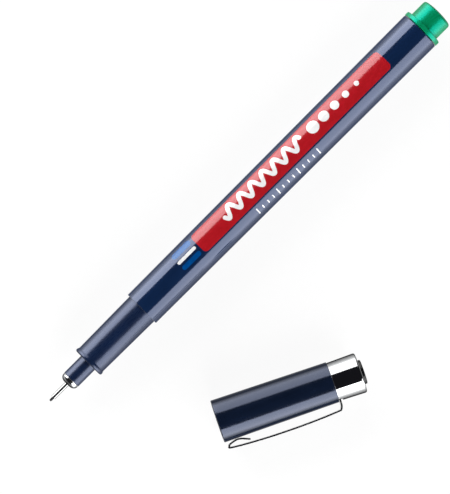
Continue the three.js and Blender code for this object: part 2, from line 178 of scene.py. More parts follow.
def turned(name, axis, profile, sides=SIDES, start=0.0, loop=False, shift=None):
    """Surface of revolution: profile point j at angle i lies at radius r_j and station s_j.

    profile is a list of (radius, station) that runs up the outside. A loop closes on itself, and
    otherwise both ends lie on the axis. shift(angle, station) moves a point along the axis.
    """
    profile = np.array(profile, float)
    angles = np.linspace(0, 2 * math.pi, sides, endpoint=False)
    if shift is not None:
        angles = shift.angles(angles)
    count = len(angles)
    radii, stations = profile[:, :1], profile[:, 1:] + start + 0 * angles
    if shift is not None:
        stations = stations + shift.along(angles, profile[:, 1:])
    own = np.stack([radii * np.cos(angles), radii * np.sin(angles), stations], axis=-1)
    turn = np.arange(count)
    after = (turn + 1) % count
    faces = []
    rows = len(profile)
    for j in range(rows if loop else rows - 1):
        low, high = j * count, ((j + 1) % rows) * count
        if radii[j, 0] == 0 or radii[(j + 1) % rows, 0] == 0:
            continue
        ring = np.stack([low + turn, low + after, high + after, high + turn], axis=1)
        faces += ring.tolist()
    if not loop:
        own, faces = close_poles(own, faces, count, rows)
    points = axis.place(own[..., 0], own[..., 1], own[..., 2])
    return finish_mesh(name, points, own, faces)


def close_poles(own, faces, count, rows):
    """Swaps the first and last rows, which lie on the axis, for one point each with a fan of triangles."""
    inner = own[1:-1].reshape(-1, 3)
    first, last = len(inner), len(inner) + 1
    faces = [[corner - count for corner in face] for face in faces]
    turn = np.arange(count)
    after = (turn + 1) % count
    top = (rows - 3) * count
    faces += np.stack([np.full(count, first), after, turn], axis=1).tolist()
    faces += np.stack([top + turn, top + after, np.full(count, last)], axis=1).tolist()
    return np.vstack([inner, own[0, :1], own[-1, :1]]), faces


def swept(name, axis, own):
    """Closed skin over rings of points: ring t, point k. The end rings are filled with one face each."""
    rings, count = own.shape[:2]
    turn = np.arange(count)
    after = (turn + 1) % count
    low = (np.arange(rings - 1) * count)[:, None]
    quads = np.stack([low + turn, low + after, low + count + after, low + count + turn], axis=-1)
    faces = quads.reshape(-1, 4).tolist()
    faces.append(turn[::-1].tolist())
    faces.append(((rings - 1) * count + turn).tolist())
    points = axis.place(own[..., 0], own[..., 1], own[..., 2])
    return finish_mesh(name, points, own, faces)


def arc(centre_r, centre_s, width, length, from_deg, to_deg, steps=8):
    """Points (radius, station) on an arc: 0 degrees points away from the axis, 90 along it."""
    angles = np.radians(np.linspace(from_deg, to_deg, steps + 1))
    return list(zip(centre_r + width * np.cos(angles), centre_s + length * np.sin(angles)))


def front_edge(radius, station, round_mm=EDGE):
    """Rounded edge where a front face meets the outside."""
    return arc(radius - round_mm, station + round_mm, round_mm, round_mm, -90, 0)


def rear_edge(radius, station, round_mm=EDGE):
    """Rounded edge where the outside meets a rear face."""
    return arc(radius - round_mm, station - round_mm, round_mm, round_mm, 0, 90)


def straight(from_point, to_point, steps=12):
    """Points on a straight stretch of a profile, without its ends."""
    shares = np.linspace(0, 1, steps + 1)[1:-1, None]
    return [tuple(p) for p in np.array(from_point) * (1 - shares) + np.array(to_point) * shares]


# Finishes

FULL_GLOSS, RIM_GLOSS = 0.5, 0.02
RIM_FADE, CAP_RIM_FADE = (0.38, 0.62), (0.38, 0.5)


class Finish:
    """A material under construction: its nodes, and short ways to add and join them."""

    def __init__(self, name, **values):
        self.material = bpy.data.materials.new(name)
        self.material.use_nodes = True
        self.nodes = self.material.node_tree.nodes
        self.links = self.material.node_tree.links
        self.shader = self.nodes["Principled BSDF"]
        for socket, value in values.items():
            self.shader.inputs[socket.replace("_", " ")].default_value = value

    def add(self, kind, **settings):
        node = self.nodes.new(kind)
        for key, value in settings.items():
            if hasattr(node, key) and key not in node.inputs:
                setattr(node, key, value)
            else:
                node.inputs[key.replace("_", " ")].default_value = value
        return node

    def join(self, source, output, target, socket):
        self.links.new(source.outputs[output], target.inputs[socket])
        return target

    def place(self, scale, own=True):
        """Coordinates in the piece's own directions, in millimetres, stretched by scale."""
        if own:
            source, output = self.add("ShaderNodeAttribute", attribute_name="own_mm"), "Vector"
            size = scale
        else:
            source, output = self.add("ShaderNodeTexCoord"), "Object"
            size = tuple(s / MM for s in scale)
        mapping = self.add("ShaderNodeMapping", Scale=size)
        return self.join(source, output, mapping, "Vector")

    def noise(self, scale, own=True, detail=4.0, rough=0.55):
        """Noise of about one spot a millimetre times scale, along each of the piece's directions."""
        place = self.place(scale, own)
        texture = self.add("ShaderNodeTexNoise", Scale=1.0, Detail=detail, Roughness=rough)
        return self.join(place, "Vector", texture, "Vector")

    def spread(self, source, output, low, high, from_low=0.3, from_high=0.7):
        """Turns a texture's middle range into the range from low to high."""
        node = self.add("ShaderNodeMapRange")
        ends = {"From Min": from_low, "From Max": from_high, "To Min": low, "To Max": high}
        for socket, value in ends.items():
            node.inputs[socket].default_value = value
        return self.join(source, output, node, "Value")

    def tint(self, source, output, stops):
        """Colour ramp over a texture: stops are (place, colour)."""
        node = self.add("ShaderNodeValToRGB")
        ramp = node.color_ramp
        while len(ramp.elements) < len(stops):
            ramp.elements.new(0.5)
        for element, (place, colour) in zip(ramp.elements, stops):
            element.position = place
            element.color = (*colour, 1.0)
        return self.join(source, output, node, "Fac")

    def bump(self, source, output, strength, distance_mm, under=None):
        """Bump from a texture, laid over another bump where one is given."""
        node = self.add("ShaderNodeBump", Strength=strength, Distance=distance_mm * MM)
        self.join(source, output, node, "Height")
        if under is not None:
            self.join(under, "Normal", node, "Normal")
        self.join(node, "Normal", self.shader, "Normal")
        return node

    def fade_rim(self, fade=RIM_FADE):
        """Lets the gloss fade towards the rim, where the surface turns away."""
        turned_away = self.add("ShaderNodeLayerWeight", Blend=0.5)
        level = self.spread(turned_away, "Facing", FULL_GLOSS, RIM_GLOSS, *fade)
        self.join(level, "Result", self.shader, "Specular IOR Level")

    def roughness(self, source, output, low, high):
        self.join(self.spread(source, output, low, high), "Result", self.shader, "Roughness")

    def colour(self, source, output, stops):
        self.join(self.tint(source, output, stops), "Color", self.shader, "Base Color")


def moulded_plastic(name, deep, light, rough, ior=1.5, gleam=(1.0, 1.0, 1.0), fade=RIM_FADE):
    """Moulded plastic: faint flow marks in the colour, a soft ripple and hairline scuffs.

    gleam tints its gloss, and fade gives the turn of the surface over which the gloss goes.
    """
    finish = Finish(name, IOR=ior, Specular_Tint=(*gleam, 1.0))
    flow = finish.noise((0.5, 0.5, 0.12))
    finish.colour(flow, "Fac", [(0.3, deep), (0.75, light)])
    scuffs = finish.noise((9.0, 9.0, 0.7), detail=6.0)
    finish.roughness(scuffs, "Fac", *rough)
    ripple = finish.bump(flow, "Fac", 0.12, 0.02)
    finish.bump(scuffs, "Fac", 0.06, 0.004, under=ripple)
    finish.fade_rim(fade)
    return finish.material


def turned_steel(name, tone, rough, line_mm=0.08, rim=1.0, depth=0.15, own=True):
    """Metal turned on a lathe: fine rings round the axis that break up the gloss.

    rim is how bright its edges are where the surface turns away, and 1 is plain metal.
    """
    finish = Finish(name, Metallic=1.0, Specular_Tint=(rim, rim, rim, 1.0))
    rings = finish.noise((0.3, 0.3, 1 / line_mm), own, detail=3.0)
    finish.colour(rings, "Fac", [(0.25, tuple(0.9 * c for c in tone)), (0.8, tone)])
    finish.roughness(rings, "Fac", *rough)
    finish.bump(rings, "Fac", depth, 0.004)
    return finish.material


def printed_ink(name, deep, light, gleam):
    """Screen-printed ink: glossy, slightly uneven in cover, with a fine orange-peel skin."""
    finish = Finish(name, IOR=1.59, Specular_Tint=(*gleam, 1.0))
    cover = finish.noise((1.1, 1.1, 0.8), detail=5.0)
    finish.colour(cover, "Fac", [(0.3, deep), (0.7, light)])
    skin = finish.noise((7.0, 7.0, 5.0), detail=2.0)
    finish.roughness(skin, "Fac", 0.12, 0.2)
    finish.bump(skin, "Fac", 0.08, 0.006)
    finish.fade_rim()
    return finish.material


def fibre(name, deep, light, strand_mm, own=True):
    """Bonded fibres along the axis: dark gaps between pale strands, and no gloss."""
    finish = Finish(name, IOR=1.4)
    along = 0.25 / strand_mm
    strands = finish.noise((1 / strand_mm, 1 / strand_mm, along), own, detail=5.0)
    finish.colour(strands, "Fac", [(0.35, deep), (0.65, light)])
    finish.roughness(strands, "Fac", 0.7, 0.95)
    finish.bump(strands, "Fac", 0.5, 0.4 * strand_mm)
    return finish.material


def make_finishes():
    cool = (0.66, 0.74, 1.0)
    finishes = {
        "barrel_navy": moulded_plastic("barrel_navy", (0.0035, 0.013, 0.045), (0.005, 0.018, 0.062),
                                       (0.08, 0.16), 1.59, cool),
        "grip_navy": moulded_plastic("grip_navy", (0.0035, 0.01, 0.035), (0.005, 0.015, 0.05),
                                     (0.24, 0.32), 1.59, cool),
        "cap_navy": moulded_plastic("cap_navy", (0.003, 0.0065, 0.017), (0.0045, 0.0095, 0.026),
                                    (0.12, 0.2), 1.53, cool, CAP_RIM_FADE),
        "green": moulded_plastic("green_plastic", (0.0008, 0.195, 0.073), (0.002, 0.25, 0.105),
                                 (0.22, 0.32), 1.73, (0.0, 1.0, 0.82)),
        "black": moulded_plastic("black_plastic", (0.004, 0.004, 0.005), (0.008, 0.008, 0.009),
                                 (0.16, 0.26), 1.3),
        "seal": moulded_plastic("seal_plastic", (0.6, 0.6, 0.55), (0.72, 0.72, 0.68), (0.4, 0.55)),
        "nose_steel": turned_steel("nose_steel", (0.37, 0.375, 0.385), (0.12, 0.24), rim=0.0),
        # The collar's steel front face, painted near black as a non-metal: painted shade and painted dark
        # reflection round the needle.
        "shade_painted_steel": moulded_plastic("steel_painted_with_shade", (0.006, 0.006, 0.007), (0.012, 0.012, 0.013),
                                      (0.3, 0.42), 1.38),
        "needle_steel": turned_steel("needle_steel", (0.25, 0.252, 0.25), (0.14, 0.22), 0.05, rim=0.3),
        "clip_steel": turned_steel("clip_steel", (0.42, 0.43, 0.44), (0.12, 0.26), 0.06),
        "chrome": turned_steel("sleeve_chrome", (0.35, 0.354, 0.358), (0.03, 0.09), 0.4,
                               rim=0.05, depth=0.05),
        "ring_steel": turned_steel("ring_steel", (0.42, 0.43, 0.44), (0.15, 0.3), 0.1, own=False),
        "nib_fibre": fibre("nib_fibre", (0.006, 0.0065, 0.007), (0.03, 0.032, 0.034), 0.05),
        "ink_fibre": fibre("ink_fibre", (0.004, 0.05, 0.03), (0.015, 0.14, 0.09), 0.12, own=False),
        "red_ink": printed_ink("red_ink", (0.36, 0.007, 0.011), (0.42, 0.009, 0.016), (0.88, 0.66, 0.68)),
        "white_ink": printed_ink("white_ink", (0.78, 0.77, 0.77), (0.86, 0.86, 0.86), (1.0, 1.0, 1.0)),
        "blue_ink": printed_ink("blue_ink", (0.0, 0.045, 0.19), (0.0, 0.065, 0.26), (0.5, 0.7, 1.0)),
    }
    film = Finish("clear_film", Transmission_Weight=0.6, IOR=1.45)
    creases = film.noise((0.4, 0.4, 0.4), own=False)
    film.colour(creases, "Fac", [(0.3, (0.7, 0.76, 0.78)), (0.7, (0.82, 0.86, 0.88))])
    film.roughness(creases, "Fac", 0.15, 0.35)
    film.bump(creases, "Fac", 0.3, 0.1)
    finishes["film"] = film.material
    return finishes


FINISH = make_finishes()


def dress(piece, finish, slot, body, *nodes):
    """Gives a piece its finish, the body that it rides on and the nodes that it stands for. slot is not
    used.
    """
    piece.data.materials.clear()
    piece.data.materials.append(FINISH[finish])
    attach(piece, body)
    if nodes:
        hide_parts(*nodes)
    return piece


# The pen, from the point back

def make_nib():
    low, high = PEN.span("fibre_nib")
    chamfer = 0.05
    profile = arc(0, NIB_R, NIB_R, NIB_R, -90, 0, 14) + [(NIB_R, high - low - chamfer)]
    profile += [(NIB_R - chamfer, high - low), (0, high - low)]
    profile[0] = (0, 0)
    dress(turned("nib_point", PEN, profile, FINE_SIDES, low), "nib_fibre", "nib_fibre", "pen", "fibre_nib")


def make_needle():
    low, high = PEN.span("needle_sleeve")
    length, chamfer = high - low, 0.08
    profile = [(NEEDLE_BORE_R, 0)] + arc(NEEDLE_R - chamfer, chamfer, chamfer, chamfer, -90, 0)
    profile += [(NEEDLE_R, length), (NEEDLE_BORE_R, length)]
    tube = turned("needle_tube", PEN, profile, FINE_SIDES, low, loop=True)
    dress(tube, "needle_steel", "nose_steel", "pen", "needle_sleeve")


def make_collar():
    low, high = PEN.span("nose_collar")
    nose_start = PEN.span("nib_holder")[0]
    seat = nose_start - low - FIT_GAP
    dome = nose_start - low - COLLAR_RIM
    bore, spigot, chamfer = NEEDLE_R + FIT_GAP, 1.6, 0.05
    front = arc(COLLAR_FRONT_R, dome, COLLAR_R - COLLAR_FRONT_R, dome, -90, 0, 40)
    cone = [point for point in front if point[0] < COLLAR_CONE_R]
    # The front face round the needle is steel, given a near-black finish as painted shade and painted dark
    # reflection.
    face = turned("collar_face", PEN, [(bore, 0)] + cone + [(bore, cone[-1][1])], SIDES, low, loop=True)
    dress(face, "shade_painted_steel", "nose_steel", "pen", "nose_collar")
    profile = [(bore, cone[-1][1])] + front[len(cone) - 1:]
    profile += [(COLLAR_R, seat - chamfer), (COLLAR_R - chamfer, seat), (spigot, seat)]
    profile += [(spigot, high - low), (bore, high - low)]
    collar = turned("collar_dome", PEN, profile, SIDES, low, loop=True)
    dress(collar, "nose_steel", "nose_steel", "pen", "nose_collar")


def make_nose():
    low, high = PEN.span("nib_holder")
    seat = PEN.span("grip_section")[0] - low
    shank, passage, socket, socket_end, edge = 2.15, 0.95, 1.65, 3.5, 0.12
    profile = [(socket, 0)] + front_edge(NOSE_R, 0, edge) + straight((NOSE_R, edge), (NOSE_R, seat))
    profile += [(NOSE_R, seat), (shank, seat), (shank, high - low), (passage, high - low)]
    profile += [(passage, socket_end), (socket, socket_end)]
    nose = turned("nose_shell", PEN, profile, SIDES, low, loop=True)
    dress(nose, "grip_navy", "navy_plastic", "pen", "nib_holder")


def make_grip():
    low, high = PEN.span("grip_section")
    seat = PEN.span("barrel")[0] - low
    flat_end = BEAD_ROUND_L + BEAD_FLAT
    slope_end = flat_end + BEAD_SLOPE
    bore, bore_start, front_bore, spigot = 2.9, 9.8, 2.2, BARREL_BORE_R - FIT_GAP
    ease, drop, swell = 0.1, 0.02, 0.03
    profile = [(front_bore, 0)]
    profile += arc(BEAD_R - BEAD_ROUND_W, BEAD_ROUND_L, BEAD_ROUND_W, BEAD_ROUND_L, -90, 0, 14)
    profile += [(BEAD_R, flat_end - ease), (BEAD_R - drop, flat_end)]
    profile += [(GRIP_FRONT_R + swell, slope_end - ease / 2), (GRIP_FRONT_R, slope_end + ease)]
    profile += straight((GRIP_FRONT_R, slope_end + ease), (GRIP_REAR_R, seat))
    profile += [(GRIP_REAR_R, seat), (spigot, seat), (spigot, high - low), (bore, high - low)]
    profile += [(bore, bore_start), (front_bore, bore_start)]
    grip = turned("grip_shell", PEN, profile, SIDES, low, loop=True)
    dress(grip, "grip_navy", "navy_plastic", "pen", "grip_section")


def make_barrel():
    low, high = PEN.span("barrel")
    length = high - low
    profile = [(BARREL_BORE_R, 0)] + front_edge(BARREL_FRONT_R, 0, CRISP_EDGE)
    profile += straight((BARREL_FRONT_R, CRISP_EDGE), (BARREL_REAR_R, length - EDGE), 40)
    profile += rear_edge(BARREL_REAR_R, length) + [(BARREL_BORE_R, length)]
    barrel = turned("barrel_shell", PEN, profile, SIDES, low, loop=True)
    dress(barrel, "barrel_navy", "navy_plastic", "pen", "barrel")


def make_end_plug():
    low, high = PEN.span("end_plug")
    flange = PEN.span("barrel")[1] + PLUG_GROOVE
    wall, shank, fillet = 1.2, BARREL_BORE_R - FIT_GAP, 0.12
    end = high - flange
    cavity = end - wall - POST_DOME
    profile = [(0, cavity), (shank - wall, cavity), (shank - wall, low - flange), (shank, low - flange)]
    profile += [(shank, 0)] + front_edge(FLANGE_R, 0) + rear_edge(FLANGE_R, FLANGE_LENGTH)
    profile += [(POST_R + fillet, FLANGE_LENGTH), (POST_R, FLANGE_LENGTH + fillet)]
    profile += rear_edge(POST_R, end - POST_DOME, POST_ROUND)
    crown = np.linspace(POST_R - POST_ROUND, POST_FACE_R, 10)[1:]
    rise = (POST_R - POST_ROUND - crown) / (POST_R - POST_ROUND - POST_FACE_R)
    profile += [(r, end - POST_DOME * (1 - math.sin(math.pi / 2 * t))) for r, t in zip(crown, rise)]
    profile += [(0, end)]
    plug = turned("end_plug_shell", PEN, profile, SIDES, flange)
    dress(plug, "green", "green_plastic", "pen", "end_plug")


# The cap

def cap_shoulder():
    """Station where the cap's body steps in and its sleeve begins."""
    return CAP.span("cap_sleeve")[0]


def make_cap_body():
    low, high = CAP.span("cap_body")
    shoulder = cap_shoulder()
    neck, neck_bore, crown = 3.6, 2.8, 27.45
    lip, lead = 0.18, 0.1
    profile = [(CAP_BORE_R + lead, 0)] + front_edge(CAP_MOUTH_R, 0, lip)
    profile += straight((CAP_MOUTH_R, lip), (CAP_TOP_R, shoulder - CRISP_EDGE), 20)
    profile += rear_edge(CAP_TOP_R, shoulder, CRISP_EDGE)
    profile += [(neck, shoulder), (neck, high), (neck_bore, high), (neck_bore, crown)]
    profile += [(LEDGE_BORE_R, crown), (LEDGE_BORE_R, LEDGE_STATION), (CAP_BORE_R, LEDGE_STATION)]
    profile += straight((CAP_BORE_R, LEDGE_STATION), (CAP_BORE_R, lead), 10) + [(CAP_BORE_R, lead)]
    cap = turned("cap_shell", CAP, profile, SIDES, low, loop=True)
    dress(cap, "cap_navy", "navy_plastic", "cap", "cap_body")


def make_inner_cap():
    low, high = CAP.span("inner_cap")
    end, shoulder, tip_r, tip_bore, seal_end = high - low, 8.53, 2.75, 1.75, 6.9
    lip, wall = 0.2, 0.7
    profile = [(0, end - wall), (tip_bore, end - wall), (tip_bore, seal_end + wall)]
    profile += [(SEAL_BORE_R, seal_end), (SEAL_BORE_R, lip)]
    profile += arc(SEAL_BORE_R + lip, lip, -lip, lip, 0, -90)
    profile += front_edge(INNER_CAP_R, 0) + [(INNER_CAP_R, shoulder), (tip_r, shoulder)]
    profile += [(tip_r, end), (0, end)]
    inner = turned("inner_cap_cup", CAP, profile, SIDES, low)
    dress(inner, "seal", "seal_plastic", "cap", "inner_cap")


class Notch:
    """The notch in the sleeve's lower edge: the edge steps up along the axis on the clip's side."""

    half = (CLIP_WIDTH / 2 + NOTCH_SIDE_GAP) / SLEEVE_BASE_R
    soft = math.radians(0.6)

    def angles(self, even):
        """Even angles, with more of them close together at the notch's two walls."""
        wall = np.linspace(-self.soft, self.soft, 5)
        close = np.concatenate([self.half + wall, 2 * math.pi - self.half + wall])
        clear = np.abs(np.abs(np.mod(even + math.pi, 2 * math.pi) - math.pi) - self.half) > 1.5 * self.soft
        return np.sort(np.concatenate([even[clear], close]))

    def along(self, angles, stations):
        """Rises from 0 to the notch's length over a short wall, fading out above the notch."""
        away = np.abs(np.mod(angles + math.pi, 2 * math.pi) - math.pi)
        inside = np.clip((self.half + self.soft - away) / (2 * self.soft), 0, 1)
        return NOTCH_LENGTH * inside * (stations < NOTCH_LENGTH / 2)


def make_sleeve():
    low, high = CAP.span("cap_sleeve")
    length, above = high - low, NOTCH_LENGTH + NOTCH_REST
    wall_r = SLEEVE_BASE_R + (SLEEVE_END_R - SLEEVE_BASE_R) * above / length
    lip = 0.06
    profile = [(SLEEVE_INNER_R, 0), (SLEEVE_BASE_R - lip, 0), (SLEEVE_BASE_R, lip), (wall_r, above)]
    round_end = length - SLEEVE_DOME
    round_start, face_r = round_end - SLEEVE_ROUND_L, SLEEVE_END_R - SLEEVE_ROUND_W
    profile += straight((wall_r, above), (SLEEVE_END_R, round_start), 10)
    profile += arc(face_r, round_start, SLEEVE_ROUND_W, SLEEVE_ROUND_L, 0, 90, 16)
    profile += straight((face_r, round_end), (SLEEVE_HOLE_R + lip, length), 4)
    profile += [(SLEEVE_HOLE_R + lip, length), (SLEEVE_HOLE_R, length - lip)]
    profile += [(SLEEVE_HOLE_R, length - SLEEVE_END_WALL), (SLEEVE_INNER_R, length - SLEEVE_END_WALL)]
    profile += [(SLEEVE_INNER_R, above)]
    sleeve = turned("sleeve_shell", CAP, profile, SIDES, low, loop=True, shift=Notch())
    dress(sleeve, "chrome", "sleeve_chrome", "cap", "cap_sleeve")


def make_cap_plug():
    low, high = CAP.span("cap_end_plug")
    seat, shank = CAP.span("cap_body")[1] + SEAT_CLEARANCE - low, 2.75
    end, mark_r, mark_slope, mark_depth = high - low, 0.5, 0.1, 0.05
    profile = [(0, 0), (shank, 0), (shank, seat), (CAP_PLUG_R, seat)]
    profile += rear_edge(CAP_PLUG_R, end, CAP_PLUG_ROUND)
    profile += [(mark_r + mark_slope, end), (mark_r, end - mark_depth), (0, end - mark_depth)]
    plug = turned("cap_plug", CAP, profile, SIDES, low)
    dress(plug, "black", "black_plastic", "cap", "cap_end_plug")


def smooth_line(knots, count, steps=24):
    """Catmull-Rom curve through the knots, evenly stepped in length: cubic between each pair,
    leaving a knot along the line through its neighbours."""
    knots = np.array(knots, float)
    knots = np.vstack([2 * knots[0] - knots[1], knots, 2 * knots[-1] - knots[-2]])
    t = np.linspace(0, 1, steps, endpoint=False)[:, None]
    p0, p1, p2, p3 = (knots[i:len(knots) - 3 + i, None] for i in range(4))
    cubic = 2 * p1 + (p2 - p0) * t + (2 * p0 - 5 * p1 + 4 * p2 - p3) * t**2
    cubic = cubic + (3 * p1 - p0 - 3 * p2 + p3) * t**3
    line = np.vstack([(cubic / 2).reshape(-1, 2), knots[-2]])
    lengths = np.concatenate([[0], np.cumsum(np.linalg.norm(np.diff(line, axis=0), axis=1))])
    even = np.linspace(0, lengths[-1], count)
    return np.stack([np.interp(even, lengths, line[:, i]) for i in range(2)], axis=1)


def cap_radius(station):
    return CAP_MOUTH_R + (CAP_TOP_R - CAP_MOUTH_R) * station / cap_shoulder()


def clip_line():
    """The strip's middle line as (radius, station): root, bend, bow, tight bend, foot and tail."""
    half = CLIP_THICKNESS / 2
    top = cap_shoulder()
    root = CAP.span("clip_ring")[0] + half
    arm = cap_radius(top) + CLIP_ROOT_RISE
    bow_station, tip_station = top / 2, CLIP_TIP_INSET + half
    bow = cap_radius(bow_station) + CLIP_BOW_RISE
    tip = cap_radius(0) + CLIP_TIP_RISE
    foot = cap_radius(CLIP_FOOT_STATION) + CLIP_SEAT_GAP + half
    return smooth_line([
        (SLEEVE_BASE_R + 0.5, root),
        (arm - CLIP_ROOT_BEND, root - CLIP_ROOT_LEAN / 2),
        (arm - CLIP_ROOT_BEND / 4, root - CLIP_ROOT_LEAN - CLIP_ROOT_BEND / 4),
        (arm, root - CLIP_ROOT_LEAN - CLIP_ROOT_BEND),
        (0.25 * arm + 0.75 * bow, (root + bow_station) / 2),
        (bow, bow_station),
        (0.25 * tip + 0.75 * bow, (tip_station + bow_station) / 2),
        (tip, tip_station + CLIP_TIP_BEND),
        (tip - CLIP_TIP_BEND, tip_station),
        (tip - 2 * CLIP_TIP_BEND, tip_station + CLIP_TIP_BEND),
        (foot, CLIP_FOOT_STATION),
        (cap_radius(CLIP_TAIL_STATION) + CLIP_TAIL_RISE, CLIP_TAIL_STATION),
    ], CLIP_RINGS)


def strip_section(width, thickness, round_mm, steps=5):
    """Rounded rectangle as (across, through): quarter circles at the four corners."""
    corners = []
    for turn, (sx, sy) in enumerate(((1, 1), (-1, 1), (-1, -1), (1, -1))):
        angles = np.radians(90 * turn + np.linspace(0, 90, steps + 1))
        x = sx * (width / 2 - round_mm) + round_mm * np.cos(angles)
        y = sy * (thickness / 2 - round_mm) + round_mm * np.sin(angles)
        corners.append(np.stack([x, y], axis=1))
    return np.vstack(corners)


def make_clip():
    """The strip's section carried along its middle line, square to it, a little narrower at its tail."""
    line = clip_line()
    along = np.gradient(line, axis=0)
    along /= np.linalg.norm(along, axis=1, keepdims=True)
    outward = np.stack([-along[:, 1], along[:, 0]], axis=1)
    section = strip_section(CLIP_WIDTH, CLIP_THICKNESS, CLIP_EDGE)
    taper = np.ones(len(line))
    taper[-CLIP_TAIL_RINGS:] = np.sqrt(1 - np.linspace(0, CLIP_TAIL_NARROWING, CLIP_TAIL_RINGS) ** 2)
    across = taper[:, None] * section[:, 0]
    radius = line[:, :1] + outward[:, :1] * section[:, 1]
    station = line[:, 1:] + outward[:, 1:] * section[:, 1]
    clip = swept("clip_arm", CAP, np.stack([radius, across, station], axis=-1))
    dress(clip, "clip_steel", "spring_steel", "clip", "clip")


# Print on the barrel

def barrel_radius(station):
    low, high = PEN.span("barrel")
    return BARREL_FRONT_R + (BARREL_REAR_R - BARREL_FRONT_R) * (station - low) / (high - low)


def ink_shape(name, line, half_width, finish, lift=INK_LIFT, steps=6):
    """A patch of ink along a line on the barrel's skin.

    line is (station, arc) in millimetres, with the arc counted from the barrel's top, and half_width
    the patch's half width at each of its points. Its top lies lift above the skin.
    """
    along = np.gradient(line, axis=0)
    along /= np.linalg.norm(along, axis=1, keepdims=True)
    side = np.stack([-along[:, 1], along[:, 0]], axis=1)
    share = np.concatenate([np.linspace(-1, 1, steps + 1), np.linspace(1, -1, steps + 1)])
    height = np.concatenate([np.full(steps + 1, lift), np.full(steps + 1, -INK_SINK)])
    station = line[:, :1] + side[:, :1] * share * half_width[:, None]
    around = line[:, 1:] + side[:, 1:] * share * half_width[:, None]
    skin = barrel_radius(station)
    angle = around / skin
    own = np.stack([(skin + height) * np.cos(angle), (skin + height) * np.sin(angle), station], axis=-1)
    patch = swept(name, PEN, own)
    return dress(patch, finish, "navy_plastic", "pen")


def round_ends(along, length, half, corner):
    """Half width of a bar with round corners, at distances along it: a quarter circle at each end."""
    into = np.minimum(np.minimum(along, length - along), corner)
    return half - corner + np.sqrt(np.maximum(corner**2 - (corner - into) ** 2, 0)) + 0.01


def ink_bar(name, start, end, arc_mm, half, corner, finish, lift=INK_LIFT, steps=6):
    """A straight bar along the barrel, with round corners."""
    length = end - start
    fine = corner * (1 - np.cos(np.linspace(0, math.pi / 2, 10)))
    middle = np.linspace(corner, length - corner, max(3, int(length)))[1:-1]
    along = np.concatenate([fine, middle, length - fine[::-1]])
    line = np.stack([start + along, np.full(len(along), arc_mm)], axis=1)
    return ink_shape(name, line, round_ends(along, length, half, corner), finish, lift, steps)


def make_rules(centre, half):
    """Blue, white and blue rules in front of the band, at shares of its half width."""
    for number, (share, width, ink) in enumerate(RULES, 1):
        ink_bar(f"rule_{number}", BAND_START - RULE_REACH, BAND_START - RULE_GAP,
                centre + share * half, width, FULL_ROUND * width, ink)


def make_wave(middle_arc):
    """White wave along the band: a sine of WAVES turns with round ends."""
    station = np.linspace(0, WAVE_LENGTH, 40 * WAVES)
    phase = 2 * math.pi * WAVES * station / WAVE_LENGTH
    line = np.stack([BAND_START + WAVE_INSET + station, middle_arc + WAVE_SWING * np.sin(phase)], axis=1)
    travel = np.concatenate([[0], np.cumsum(np.linalg.norm(np.diff(line, axis=0), axis=1))])
    width = round_ends(travel, travel[-1], WAVE_HALF_W, WAVE_END_R)
    ink_shape("white_wave", line, width, "white_ink", MOTIF_LIFT)


def make_dots(middle_arc):
    """White dots that follow the wave, each a little smaller than the one before."""
    start = BAND_START + WAVE_INSET + WAVE_LENGTH + DOT_GAP
    for number in range(DOTS):
        radius, station = DOT_R - DOT_SHRINK * number, start + DOT_PITCH * number
        ink_bar(f"dot_{number + 1}", station - radius, station + radius,
                middle_arc, radius, FULL_ROUND * radius, "white_ink", MOTIF_LIFT)


def make_ticks(middle_arc):
    """White ticks beside the band, with a longer one at the head of each group."""
    for number in range(TICKS):
        station = BAND_START + TICK_INSET + TICK_PITCH * number
        tall = TICK_LONG_HALF if number % TICK_GROUP == 0 else TICK_SHORT_HALF
        ink_bar(f"tick_{number + 1}", station - TICK_HALF_W, station + TICK_HALF_W,
                middle_arc, tall, TICK_CORNER, "white_ink", steps=8)


def make_print():
    """The red band, and the motifs before, on and beside it."""
    middle = math.radians((BAND_TOP_DEG + BAND_LOW_DEG) / 2)
    spread = math.radians(BAND_LOW_DEG - BAND_TOP_DEG) / 2
    skin = barrel_radius((BAND_START + BAND_END) / 2)
    centre, half = middle * skin, spread * skin
    ink_bar("red_band", BAND_START, BAND_END, centre, half, BAND_CORNER, "red_ink", steps=40)
    make_rules(centre, half)
    make_wave(centre + MOTIF_SHARE * half)
    make_dots(centre + MOTIF_SHARE * half)
    make_ticks(centre + half + TICK_GAP)


SHORT_PIECES = ("nib_point", "needle_tube", "collar_face", "collar_dome", "end_plug_shell",
                "clip_arm", "cap_plug")


def part_reflections():
    """Keeps the long pieces of the pen and of the cap out of the gloss, where the short ones still show.

    The two lie a finger's width apart, and each would cut the other's bright stripe with a dark line.
    """
    for piece in bpy.context.scene.objects:
        piece.visible_glossy = piece.name in SHORT_PIECES


def dress_inner_nodes():
    """Finishes for the CAD nodes that keep their own shape."""
    for node, finish in (("feed_wick", "ink_fibre"), ("ink_reservoir", "ink_fibre"),
                         ("reservoir_film", "film"), ("clip_ring", "ring_steel")):
        materials = frame["nodes"][node].data.materials
        materials.clear()
        materials.append(FINISH[finish])


# Floor, light and camera

FLOOR_SIZE = 6.0
FLOOR_OWN_WHITE = 0.9
FLOOR_SHEEN, FLOOR_MATT = 0.12, 0.9
LAMP_DISTANCE = 1.0
# Name, azimuth, width and height in degrees, radiance
LAMPS = (
    ("far_pen_lamp", 89.5, 39, 41, 7.0),
    ("far_cap_lamp", 55.5, 29, 48.5, 4.3),
    ("near_pen_lamp", -88, 34, 49, 5.3),
    ("near_cap_lamp", -122, 34, 42.5, 6.5),
)
WORLD_RISE = ((0.05, (0.2, 0.2, 0.2, 1)), (0.45, (0.02, 0.02, 0.025, 1)))
CAMERA_DISTANCE = 1.15
VIEW_WIDTH_PX, VIEW_HEIGHT_PX = 450, 494
MM_PER_PX = 0.2398
TIP_PX = (50.15, 400.75)
PEN_TILT_DEG = 45.03
NADIR_PX = (104, 346)


